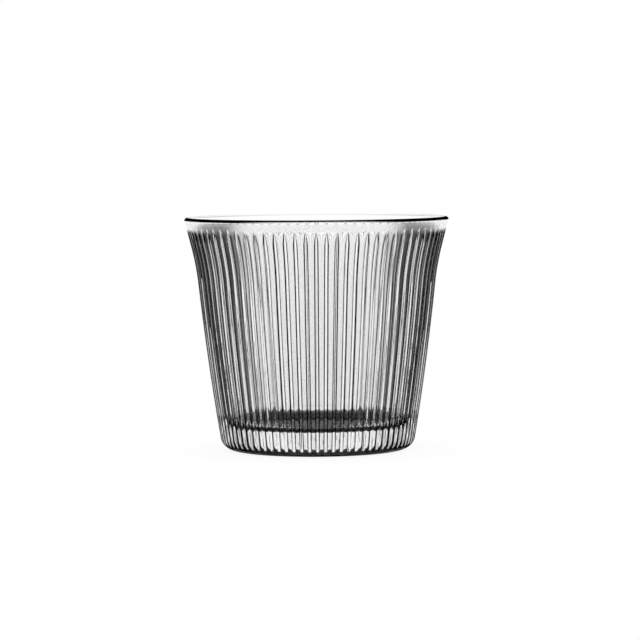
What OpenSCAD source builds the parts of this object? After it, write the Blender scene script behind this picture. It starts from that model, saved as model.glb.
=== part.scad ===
// Rocks glass of clear pressed glass: a flared lip, a wall of narrow upright
// flutes that run out under the lip and round the heel, and a thick base on a
// low foot ring. The glass stands on z = 0 with its axis on Z, in millimetres.

/* [Overall] */
// Greatest diameter, across the lip
rim_d = 91.5; // [84:0.5:100]
// Height from the table to the top of the lip
height = 80.5; // [72:0.5:95]

/* [Outer wall] */
// Lean of the lip band from upright, in degrees
lip_lean = 14.3; // [11:0.1:18]
// Radius of the hollow curve that flares the wall into the lip
flare_r = 90; // [70:1:110]
// Depth below the lip at which the flare begins
flare_drop = 23; // [20:0.5:30]
// Lean of the wall where the flare begins, in degrees
waist_lean = 6.1; // [4:0.1:8]
// Radius of the long swell of the wall below the flare
wall_r = 930; // [700:10:1500]
// Radius of the heel between the wall and the table
heel_r = 5.2; // [4:0.1:8]

/* [Inner wall] */
// Thickness of the glass at the lip and through the flare
wall_t = 2.2; // [1.8:0.1:2.8]
// Extra lean of the inner wall, which thickens the glass towards the floor, in degrees
wall_draft = 2.4; // [1.5:0.1:3]
// Height of the inner floor above the table
floor_h = 8.6; // [7:0.1:14]
// Radius between the inner wall and the floor
floor_fillet = 5; // [2:0.5:8]

/* [Flutes] */
// Number of flutes round the wall
flute_count = 78; // [60:1:84]
// Width of one flute from shoulder to shoulder
flute_w = 1.1; // [0.9:0.05:1.5]
// Width of the flat floor of one flute
flute_floor_w = 0.6; // [0.3:0.05:0.8]
// Depth of one flute
flute_depth = 0.9; // [0.4:0.05:1.1]
// Height of the smooth band between the top of the lip and the tips of the flutes
band_h = 4; // [3:0.1:6]

/* [Foot] */
// Width of the flat face of the foot ring that bears on the table
foot_w = 4.9; // [3:0.1:8]
// Height of the hollow under the base, inside the foot ring
foot_h = 0.8; // [0.5:0.1:1.5]
// Width of the slope from the foot ring up to the hollow
foot_slope_w = 1.5; // [0.5:0.1:3]

/* [Hidden] */
$fn = 180;

// How far the flutes' cutters reach past the face that they cut, and past the tips in degrees
past = 0.4;
past_tip = 1;
// Steps in the arcs of the profile
bead_steps = 12;
flare_steps = 4;
swell_steps = 3;
heel_steps = 8;
fillet_steps = 8;
runout_steps = 3;

// Direction that faces out of a wall leaning out by an angle, as [radius, height]
function out(lean) = [cos(lean), -sin(lean)];
// Even steps from one lean to another, and the same steps without the first
function leans(from, to, steps) = concat([from], onward(from, to, steps));
function onward(from, to, steps) = [for (i = [1:steps]) from + (to - from) * i / steps];

// Outer profile, from the lip down: lip bead, straight band, flare, swell and heel
bead_r = wall_t / 2;
bead_centre = [rim_d / 2 - bead_r, height - bead_r];
waist_z = height - flare_drop;
band_head = bead_centre + bead_r * out(lip_lean);
band_foot_z = waist_z + flare_r * (sin(lip_lean) - sin(waist_lean));
band_foot = [band_head[0] - (band_head[1] - band_foot_z) * tan(lip_lean), band_foot_z];
flare_centre = band_foot + flare_r * out(lip_lean);
swell_centre = flare_centre - (flare_r + wall_r) * out(waist_lean);
heel_lean = asin((swell_centre[1] - heel_r) / (wall_r - heel_r));
heel_centre = swell_centre + (wall_r - heel_r) * out(heel_lean);
function bead(lean) = bead_centre + bead_r * out(lean);
function flare(lean) = flare_centre - flare_r * out(lean);
function swell(lean) = swell_centre + wall_r * out(lean);
function heel(lean) = heel_centre + heel_r * out(lean);

// Inner profile: a flare round the same centre, a straight wall and a filleted floor
inner_lean = waist_lean + wall_draft;
function inner_flare(lean) = flare_centre - (flare_r + wall_t) * out(lean);
inner_waist = inner_flare(inner_lean);
fillet_centre_z = floor_h + floor_fillet;
fillet_head_z = fillet_centre_z - floor_fillet * sin(inner_lean);
fillet_head_r = inner_waist[0] - (inner_waist[1] - fillet_head_z) * tan(inner_lean);
fillet_centre = [fillet_head_r - floor_fillet * cos(inner_lean), fillet_centre_z];
function fillet(lean) = fillet_centre + floor_fillet * out(lean);

// The glass cut through its axis, from the hollow underneath round the outside to the floor
foot_bore_r = heel_centre[0] - foot_w;
section = concat(
  [[0, foot_h], [foot_bore_r - foot_slope_w, foot_h], [foot_bore_r, 0]],
  [for (lean = leans(90, heel_lean, heel_steps)) heel(lean)],
  [for (lean = onward(heel_lean, waist_lean, swell_steps)) swell(lean)],
  [for (lean = onward(waist_lean, lip_lean, flare_steps)) flare(lean)],
  [for (lean = leans(lip_lean, lip_lean - 180, bead_steps)) bead(lean)],
  [for (lean = leans(lip_lean, inner_lean, flare_steps)) inner_flare(lean)],
  [for (lean = leans(inner_lean, 90, fillet_steps)) fillet(lean)],
  [[0, floor_h]]
);

// The slice of the glass between two heights, turned about the axis
module slice(from_z, to_z) {
  rotate_extrude()
    intersection() {
      polygon(section);
      translate([0, from_z])
        square([rim_d, to_z - from_z]);
    }
}

// A flute's route up the wall, as points of the profile with the wall's lean there. It comes
// off the heel where the wall would go straight on, and bends out of the straight band.
band_run = (height - band_h - band_foot[1]) / cos(lip_lean);
runout_r = (pow(band_run, 2) - pow(flute_depth, 2)) / (2 * flute_depth);
runout_lean = lip_lean + asin(band_run / runout_r) + past_tip;
runout_centre = band_foot + runout_r * out(lip_lean);
function runout(lean) = runout_centre - runout_r * out(lean);
foot_lean = asin(swell_centre[1] / wall_r);
route = concat(
  [[swell(foot_lean), foot_lean]],
  [for (lean = leans(heel_lean, waist_lean, swell_steps)) [swell(lean), lean]],
  [for (lean = onward(waist_lean, lip_lean, flare_steps)) [flare(lean), lean]],
  [for (lean = onward(lip_lean, runout_lean, runout_steps)) [runout(lean), lean]]
);

// One flute cut square across, as [out of the wall, round the wall]: a flat floor between two
// slanting flanks
mouth_w = flute_w + (flute_w - flute_floor_w) * past / flute_depth;
flute_section = [
  [-flute_depth, -flute_floor_w / 2],
  [past, -mouth_w / 2],
  [past, mouth_w / 2],
  [-flute_depth, flute_floor_w / 2]
];

// The cutter for one flute, on the side of the wall that faces +X
module flute() {
  corners = len(flute_section);
  last = (len(route) - 1) * corners;
  points = [
    for (stop = route, corner = flute_section)
      let (at = stop[0] + corner[0] * out(stop[1]))
        [at[0], corner[1], at[1]]
  ];
  sides = [
    for (first = [0:corners:last - 1], i = [0:corners - 1])
      let (j = (i + 1) % corners)
        [first + i, first + corners + i, first + corners + j, first + j]
  ];
  foot_end = [for (i = [0:corners - 1]) i];
  head_end = [for (i = [corners - 1:-1:0]) last + i];
  polyhedron(points, concat(sides, [foot_end, head_end]));
}

// All the flutes, with the first on the side that faces -Y
module flutes() {
  for (i = [0:flute_count - 1])
    rotate([0, 0, -90 + i * 360 / flute_count])
      flute();
}

// Smooth band under the fire-polished lip
module rim() {
  color("gainsboro", 0.5)
    slice(height - band_h, height);
}

// Flared wall with its flutes, from the inner floor up to the smooth band
module fluted_wall() {
  color("silver", 0.5)
    difference() {
      slice(floor_h, height - band_h);
      flutes();
    }
}

// Thick bottom of the glass under the inner floor, with the flutes' lower tips round its heel
module base() {
  color("whitesmoke", 0.5)
    difference() {
      slice(foot_h, floor_h);
      flutes();
    }
}

// Low ring that bears on the table round the hollow underneath
module foot_ring() {
  color("lightgray", 0.5)
    slice(0, foot_h);
}

rim();
fluted_wall();
base();
foot_ring();
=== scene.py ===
import math

import bpy
import numpy as np
from mathutils import Matrix, Vector


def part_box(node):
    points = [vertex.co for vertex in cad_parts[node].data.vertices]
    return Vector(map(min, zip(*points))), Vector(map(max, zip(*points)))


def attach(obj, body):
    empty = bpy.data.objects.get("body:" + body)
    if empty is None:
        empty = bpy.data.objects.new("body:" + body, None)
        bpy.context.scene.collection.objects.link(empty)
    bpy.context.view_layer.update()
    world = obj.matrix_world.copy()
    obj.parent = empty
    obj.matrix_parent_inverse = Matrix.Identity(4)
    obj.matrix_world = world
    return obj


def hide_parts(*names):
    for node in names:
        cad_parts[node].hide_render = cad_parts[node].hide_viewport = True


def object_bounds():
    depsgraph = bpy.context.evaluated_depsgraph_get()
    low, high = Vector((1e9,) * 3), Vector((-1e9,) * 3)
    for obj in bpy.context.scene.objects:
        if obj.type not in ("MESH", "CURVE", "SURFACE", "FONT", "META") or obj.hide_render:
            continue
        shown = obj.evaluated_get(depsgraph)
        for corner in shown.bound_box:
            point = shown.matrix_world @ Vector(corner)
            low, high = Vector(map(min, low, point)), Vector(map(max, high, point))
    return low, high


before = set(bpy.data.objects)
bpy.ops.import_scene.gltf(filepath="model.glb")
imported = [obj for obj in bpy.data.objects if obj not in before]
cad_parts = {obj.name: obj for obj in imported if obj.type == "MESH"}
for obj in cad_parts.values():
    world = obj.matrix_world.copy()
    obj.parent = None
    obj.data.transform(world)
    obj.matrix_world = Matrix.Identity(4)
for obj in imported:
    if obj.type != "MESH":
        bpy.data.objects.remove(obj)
cad_low, cad_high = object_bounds()

# Glass
# The whole tumbler is one pressing of clear soda-lime glass, so nothing is joined to it. A plunger
# forms the smooth inside, a fluted iron mould forms the outside, and a flame rounds the lip.
MM = 0.001
LIP_R = (cad_high.x - cad_low.x) / 2
HEIGHT = cad_high.z
FLOOR_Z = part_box("fluted_wall")[0].z
FOOT_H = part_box("foot_ring")[1].z
LIP_LEAN = math.radians(14.3)
WAIST_LEAN = math.radians(6.1)
INNER_LEAN = math.radians(8.5)
FLARE_R = 90 * MM
FLARE_DROP = 23 * MM
SWELL_R = 930 * MM
HEEL_R = 5.2 * MM
WALL = 2.2 * MM
LIP_ROUND = 0.75 * MM
FILLET_R = 5 * MM
FOOT_W = 4.9 * MM
FOOT_SLOPE = 1.5 * MM
HOLLOW_PLACES = 9
HEEL_PLACES = 18
SWELL_PLACES = 16
FLARE_PLACES = 9
BAND_PLACES = 24
LIP_PLACES = 21
INNER_WALL_PLACES = 4
FILLET_PLACES = 15


def out(lean):
    """The direction, as radius and height, that faces out of a wall leaning out by an angle."""
    return np.array([math.cos(lean), -math.sin(lean)])


def arc(centre, radius, first, last, places):
    """Places on an arc of the profile, each a point with the lean of the wall there."""
    return [(centre + radius * out(lean), lean) for lean in np.linspace(first, last, places)]


def straight(first, last, lean, places):
    """Places on a straight stretch of the profile."""
    return [(first + (last - first) * t, lean) for t in np.linspace(0, 1, places)]


lip_half = WALL / 2
lip_centre = np.array([LIP_R - lip_half, HEIGHT - LIP_ROUND])
band_head = lip_centre + lip_half * out(LIP_LEAN)
band_foot_z = HEIGHT - FLARE_DROP + FLARE_R * (math.sin(LIP_LEAN) - math.sin(WAIST_LEAN))
band_foot_r = band_head[0] - (band_head[1] - band_foot_z) * math.tan(LIP_LEAN)
band_foot = np.array([band_foot_r, band_foot_z])
flare_centre = band_foot + FLARE_R * out(LIP_LEAN)
swell_centre = flare_centre - (FLARE_R + SWELL_R) * out(WAIST_LEAN)
heel_lean = math.asin((swell_centre[1] - HEEL_R) / (SWELL_R - HEEL_R))
heel_centre = swell_centre + (SWELL_R - HEEL_R) * out(heel_lean)
inner_waist = flare_centre - (FLARE_R + WALL) * out(INNER_LEAN)
fillet_head_z = FLOOR_Z + FILLET_R * (1 - math.sin(INNER_LEAN))
fillet_head_r = inner_waist[0] - (inner_waist[1] - fillet_head_z) * math.tan(INNER_LEAN)
fillet_head = np.array([fillet_head_r, fillet_head_z])
fillet_centre = fillet_head - FILLET_R * out(INNER_LEAN)
bore_r = heel_centre[0] - FOOT_W

hollow = [
    np.array([bore_r - FOOT_SLOPE * t, FOOT_H * (1 - math.cos(math.pi * t)) / 2])
    for t in np.linspace(1, 0, HOLLOW_PLACES)
]
outside = (
    arc(heel_centre, HEEL_R, math.pi / 2, heel_lean, HEEL_PLACES)
    + arc(swell_centre, SWELL_R, heel_lean, WAIST_LEAN, SWELL_PLACES)[1:]
    + arc(flare_centre, -FLARE_R, WAIST_LEAN, LIP_LEAN, FLARE_PLACES)[1:]
    + straight(band_foot, band_head, LIP_LEAN, BAND_PLACES)[1:]
)
lip = [
    lip_centre
    + lip_half * math.cos(turn) * out(LIP_LEAN)
    - LIP_ROUND * math.sin(turn) * out(LIP_LEAN + math.pi / 2)
    for turn in np.linspace(0, math.pi, LIP_PLACES)[1:]
]
inside = (
    arc(flare_centre, -(FLARE_R + WALL), LIP_LEAN, INNER_LEAN, FLARE_PLACES)[1:]
    + straight(inner_waist, fillet_head, INNER_LEAN, INNER_WALL_PLACES)[1:]
    + arc(fillet_centre, FILLET_R, INNER_LEAN, math.pi / 2, FILLET_PLACES)[1:]
)

# The flutes: grooves with slanting flanks between gently crowned ribs. They narrow to points
# under the lip, and grow shallower towards the heel.
FLUTES = 78
FLUTE_DEPTH = 0.72 * MM
FLANK_AT = 0.59 * MM
FLANK_W = 0.49 * MM
RIB_CROWN = 0.115 * MM
TIP_DROP = 3.3 * MM
TIP_RUN = 5 * MM
TIP_SHARE = 0.12
TIP_SOFTNESS = 0.03 * MM
HEEL_SHARE = 0.65
HEEL_TOP = 13 * MM
HEEL_RUN = 7 * MM
FLANK_COLUMNS = 9
RIB_COLUMNS = 4
pitch = 2 * math.pi / FLUTES


def ease(t):
    """A smooth rise from 0 to 1 while the value goes from 0 to 1."""
    t = np.clip(t, 0, 1)
    return t**2 * (3 - 2 * t)


def fluted_ring(place):
    """One ring of the outside: the columns' angles with the radius and height of the glass there."""
    point, lean = place
    run = np.clip((HEIGHT - TIP_DROP - point[1]) / TIP_RUN, 0, 1)
    narrow = TIP_SHARE + (1 - TIP_SHARE) * run
    share = HEEL_SHARE + (1 - HEEL_SHARE) * ease((point[1] - HEEL_TOP) / HEEL_RUN + 1)
    reach = ease(2 * run) * share
    lift = 0
    if point[1] < heel_centre[1]:
        lift = (SWELL_R - np.linalg.norm(point - swell_centre)) * share
    half_pitch = pitch * point[0] / 2
    groove_edge = (FLANK_AT - FLANK_W / 2) * narrow
    shoulder = (FLANK_AT + FLANK_W / 2) * narrow
    flank = np.linspace(groove_edge, shoulder, FLANK_COLUMNS)
    rib = shoulder + (half_pitch - shoulder) * np.arange(1, RIB_COLUMNS + 1) / RIB_COLUMNS
    across = np.concatenate([[0, groove_edge / 2], flank, rib])
    slope = ease((shoulder - across) / (shoulder - groove_edge))
    depth = (FLUTE_DEPTH * slope * reach - lift) / TIP_SOFTNESS
    depth = TIP_SOFTNESS * np.log1p(np.exp(np.clip(depth, -40, 40)))
    crown = RIB_CROWN * np.clip((half_pitch - across) / (half_pitch - shoulder), 0, 1) ** 2
    depth = depth + crown * reach * np.clip(1 - lift / FLUTE_DEPTH, 0, 1)
    across = np.concatenate([-across[-2:0:-1], across])
    depth = np.tile(np.concatenate([depth[-2:0:-1], depth]), FLUTES)
    turns = np.arange(FLUTES)[:, None] * pitch - math.pi / 2
    angles = (turns + across / point[0]).ravel()
    return angles, point[0] - depth * out(lean)[0], point[1] - depth * out(lean)[1]


rings = [fluted_ring(place) for place in outside]
foot_angles = rings[0][0]
lip_angles = rings[-1][0]
columns = len(foot_angles)
rings = [(foot_angles, np.full(columns, r), np.full(columns, z)) for r, z in hollow] + rings
for r, z in lip + [point for point, lean in inside]:
    rings.append((lip_angles, np.full(columns, r), np.full(columns, z)))
points = [np.stack([r * np.cos(a), r * np.sin(a), z], axis=1) for a, r, z in rings]
points = np.concatenate(points + [[[0, 0, FOOT_H], [0, 0, FLOOR_Z]]])
under_centre, floor_centre = len(points) - 2, len(points) - 1
here = np.arange(columns)
beside = (here + 1) % columns
faces = []
for first in range(0, (len(rings) - 1) * columns, columns):
    above = first + columns
    faces += np.stack([first + here, first + beside, above + beside, above + here], axis=1).tolist()
last = (len(rings) - 1) * columns
faces += [(under_centre, int(b), int(a)) for a, b in zip(here, beside)]
faces += [(floor_centre, int(last + a), int(last + b)) for a, b in zip(here, beside)]
glass_mesh = bpy.data.meshes.new("glass")
glass_mesh.from_pydata(points.tolist(), [], faces)
glass_mesh.update()
glass_mesh.shade_smooth()
glass = bpy.data.objects.new("glass", glass_mesh)
bpy.context.scene.collection.objects.link(glass)


class Link:
    """One output of a node in a shader tree. Sums and products of links add Math nodes to it."""

    def __init__(self, tree, socket=None):
        self.tree = tree
        self.socket = socket

    def __getitem__(self, output):
        return Link(self.tree, self.socket.node.outputs[output])

    def add(self, kind, settings=None, inputs=None):
        """A new node, with its settings made first and then its inputs set or linked."""
        node = self.tree.nodes.new(kind)
        for name, value in (settings or {}).items():
            setattr(node, name, value)
        for name, value in (inputs or {}).items():
            self.into(node.inputs[name], value)
        return Link(self.tree, node.outputs[0])

    def into(self, socket, value):
        """Links a value to an input, or sets the input to a plain number, colour or vector."""
        if isinstance(value, Link):
            self.tree.links.new(value.socket, socket)
        else:
            socket.default_value = value

    def math(self, operation, *values):
        return self.add("ShaderNodeMath", {"operation": operation}, dict(enumerate(values)))

    def vector(self, operation, *values):
        return self.add("ShaderNodeVectorMath", {"operation": operation}, dict(enumerate(values)))

    def ramp(self, low, high):
        """A smooth rise from 0 to 1 as the value goes from low to high, or a fall if high is lower."""
        ends = {"Value": self, "From Min": min(low, high), "From Max": max(low, high)}
        ends.update({"To Min": float(low > high), "To Max": float(low < high)})
        return self.add("ShaderNodeMapRange", {"interpolation_type": "SMOOTHSTEP"}, ends)

    def toward(self, other, share):
        """This value moved towards another by a share of the way."""
        return self + (other - self) * share

    def grey(self):
        return self.add("ShaderNodeCombineXYZ", inputs={0: self, 1: self, 2: self})

    def __add__(self, other):
        return self.math("ADD", self, other)

    def __sub__(self, other):
        return self.math("SUBTRACT", self, other)

    def __rsub__(self, other):
        return self.math("SUBTRACT", other, self)

    def __mul__(self, other):
        return self.math("MULTIPLY", self, other)

    __radd__ = __add__
    __rmul__ = __mul__


# The glass is clear, with painted shade at its edges: where it is met at a glancing angle its colour
# is greyed and then mixed with black, in place of the dark surroundings that real glass edges reflect,
# and the outside of the lip is painted black the same way. It is slightly uneven from the mould, and a
# trace softer in the fire-polished band. Each pair of values says where a change begins and where it
# is complete.
GLASS_IOR = 1.52
PAINTED_GREY_FACING = (0.12, 0.24)
PAINTED_BLACK_FACING = (0.24, 0.5)
PAINTED_LIP_FACING = (0.02, 0.25)
EDGE_ROUND = 0.3
WALL_STARTS = (5 * MM, 10 * MM)
HEEL_STARTS = (-2 * MM, 3 * MM)
WALL_ENDS = (HEIGHT - 3.5 * MM, HEIGHT - 5.5 * MM)
LIP_STARTS = (HEIGHT - 1.2 * MM, HEIGHT - 0.8 * MM)
LIP_OUTSIDE = (LIP_R - 1.4 * MM, LIP_R - MM)
BAND_STARTS = (HEIGHT - 4.6 * MM, HEIGHT - 3.4 * MM)
BAND_ENDS = (HEIGHT - MM, HEIGHT - 1.6 * MM)
BAND_FACING = (0.45, 0.2)
BAND_SOFTNESS = 0.16
WAVE_SIZE = 7 * MM
WAVE_DEPTH = 0.015 * MM
clear_glass = bpy.data.materials.new("clear_glass")
clear_glass.use_nodes = True
tree = clear_glass.node_tree
shader = tree.nodes["Principled BSDF"]
shader.inputs["IOR"].default_value = GLASS_IOR
shader.inputs["Transmission Weight"].default_value = 1
start = Link(tree)
place = start.add("ShaderNodeTexCoord")["Object"]
height = start.add("ShaderNodeSeparateXYZ", inputs={0: place})["Z"]
from_axis = start.vector("MULTIPLY", place, (1, 1, 0))
radius = start.vector("LENGTH", from_axis)["Value"]
outward = start.vector("NORMALIZE", from_axis)
normal = start.add("ShaderNodeNewGeometry")["Normal"]
faces_out = start.vector("DOT_PRODUCT", normal, outward)["Value"]
first_face = start.add("ShaderNodeLightPath")["Is Camera Ray"]
facing = start.add("ShaderNodeLayerWeight")["Facing"]
round_facing = start.add("ShaderNodeLayerWeight", inputs={"Normal": outward})["Facing"]
# The painted shade covers the wall between the heel and the band. For rays straight from the camera it
# starts lower, at the heel, and leaves out faces turned toward the axis.
on_wall = height.ramp(*WALL_STARTS).toward(height.ramp(*HEEL_STARTS), first_face)
on_wall = on_wall * height.ramp(*WALL_ENDS)
on_wall = on_wall * (1 - first_face * start.math("LESS_THAN", faces_out, 0))
on_lip = height.ramp(*LIP_STARTS) * radius.ramp(*LIP_OUTSIDE)
on_band = height.ramp(*BAND_STARTS) * height.ramp(*BAND_ENDS)
glancing = facing - round_facing * EDGE_ROUND
# Painted shade: glancing faces of the wall are greyed and then blackened, and the outside of the lip
# is blackened.
painted_grey_shade = glancing.ramp(*PAINTED_GREY_FACING) * on_wall
painted_lip_shade = facing.ramp(*PAINTED_LIP_FACING) * on_lip
painted_black_shade = start.math("MAXIMUM", glancing.ramp(*PAINTED_BLACK_FACING) * on_wall, painted_lip_shade)
start.into(shader.inputs["Base Color"], (1 - painted_grey_shade).grey())
start.into(shader.inputs["Roughness"], on_band * facing.ramp(*BAND_FACING) * BAND_SOFTNESS)
waves = start.add(
    "ShaderNodeTexNoise", inputs={"Vector": place, "Scale": 1 / WAVE_SIZE, "Detail": 1}
)
uneven = start.add("ShaderNodeBump", inputs={"Height": waves, "Distance": WAVE_DEPTH})
start.into(shader.inputs["Normal"], uneven)
clear = Link(tree, shader.outputs["BSDF"])
# A black shader, mixed in wherever the painted shade is black.
painted_shade_black = start.add("ShaderNodeBsdfDiffuse", inputs={"Color": (0, 0, 0, 1)})
painted_edge_mix = start.add("ShaderNodeMixShader", inputs={0: painted_black_shade, 1: clear, 2: painted_shade_black})
start.into(tree.nodes["Material Output"].inputs["Surface"], painted_edge_mix)
glass_mesh.materials.append(clear_glass)
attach(glass, "root")
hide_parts("rim", "fluted_wall", "base", "foot_ring")

# Floor
# A round white table top, just wide enough for the glass and its soft shadow. The glass stands free
# on it. A painted shadow makes it black outside the middle for rays that were reflected once inside
# the glass.
TABLE_R = 75 * MM
TABLE_GAP = 0.2 * MM
TABLE_SIDES = 96
TABLE_GLOW = 0.88
TABLE_SHADE = 0.15
PAINTED_SHADOW_STARTS = (14 * MM, 18 * MM)
turns = np.linspace(0, 2 * math.pi, TABLE_SIDES, endpoint=False)
table_edge = [(TABLE_R * math.cos(turn), TABLE_R * math.sin(turn), -TABLE_GAP) for turn in turns]
table_mesh = bpy.data.meshes.new("table")
table_mesh.from_pydata(table_edge, [], [tuple(range(TABLE_SIDES))])
table = bpy.data.objects.new("table", table_mesh)
bpy.context.scene.collection.objects.link(table)
white_table = bpy.data.materials.new("white_table")
white_table.use_nodes = True
tree = white_table.node_tree
shader = tree.nodes["Principled BSDF"]
shader.inputs["Specular IOR Level"].default_value = 0
shader.inputs["Roughness"].default_value = 1
shader.inputs["Emission Strength"].default_value = 1
start = Link(tree)
path = start.add("ShaderNodeLightPath")
seen = start.math("MAXIMUM", path["Is Camera Ray"], path["Is Glossy Ray"])
seen = start.math("MAXIMUM", seen, path["Is Transmission Ray"])
one_wall = start.math("LESS_THAN", path["Transmission Depth"], 3)
reflected_once = start.math("COMPARE", path["Glossy Depth"], 1, 0.5)
place = start.add("ShaderNodeTexCoord")["Object"]
radius = start.vector("LENGTH", place)["Value"]
# Painted shadow: black on the table from 14 to 18 mm out, seen only by rays reflected once inside the
# glass that crossed at most two faces.
painted_shadow = radius.ramp(*PAINTED_SHADOW_STARTS) * reflected_once * one_wall
start.into(shader.inputs["Base Color"], (seen * TABLE_SHADE).grey())
start.into(shader.inputs["Emission Color"], (seen * (1 - painted_shadow) * TABLE_GLOW).grey())
table_mesh.materials.append(white_table)

# Studio light
# A plain white room, which lights the table and the glass evenly from all sides and is the white
# behind them.
world = bpy.data.worlds.new("studio")
world.use_nodes = True
world.node_tree.nodes["Background"].inputs["Color"].default_value = (1, 1, 1, 1)
bpy.context.scene.world = world

# Camera
# It stands far back and a little above the table, with a long lens, and looks down by three degrees.
# It leans slightly to one side.
LENS = 180.45
SENSOR = 36
EYE = Vector((3.9, -1110, 111)) * MM
AIM = Vector((1, 0, 44.7)) * MM
ROLL = math.radians(-0.4)
BOUNCES = 48
camera_data = bpy.data.cameras.new("camera")
camera_data.lens = LENS
camera_data.sensor_width = SENSOR
camera = bpy.data.objects.new("camera", camera_data)
bpy.context.scene.collection.objects.link(camera)
look = (AIM - EYE).to_track_quat("-Z", "Y").to_matrix().to_4x4()
camera.matrix_world = Matrix.Translation(EYE) @ look @ Matrix.Rotation(ROLL, 4, "Z")
bpy.context.scene.camera = camera

bpy.context.scene.view_settings.view_transform = "Standard"
bpy.context.scene.cycles.max_bounces = BOUNCES
bpy.context.scene.cycles.glossy_bounces = BOUNCES
bpy.context.scene.cycles.transmission_bounces = BOUNCES
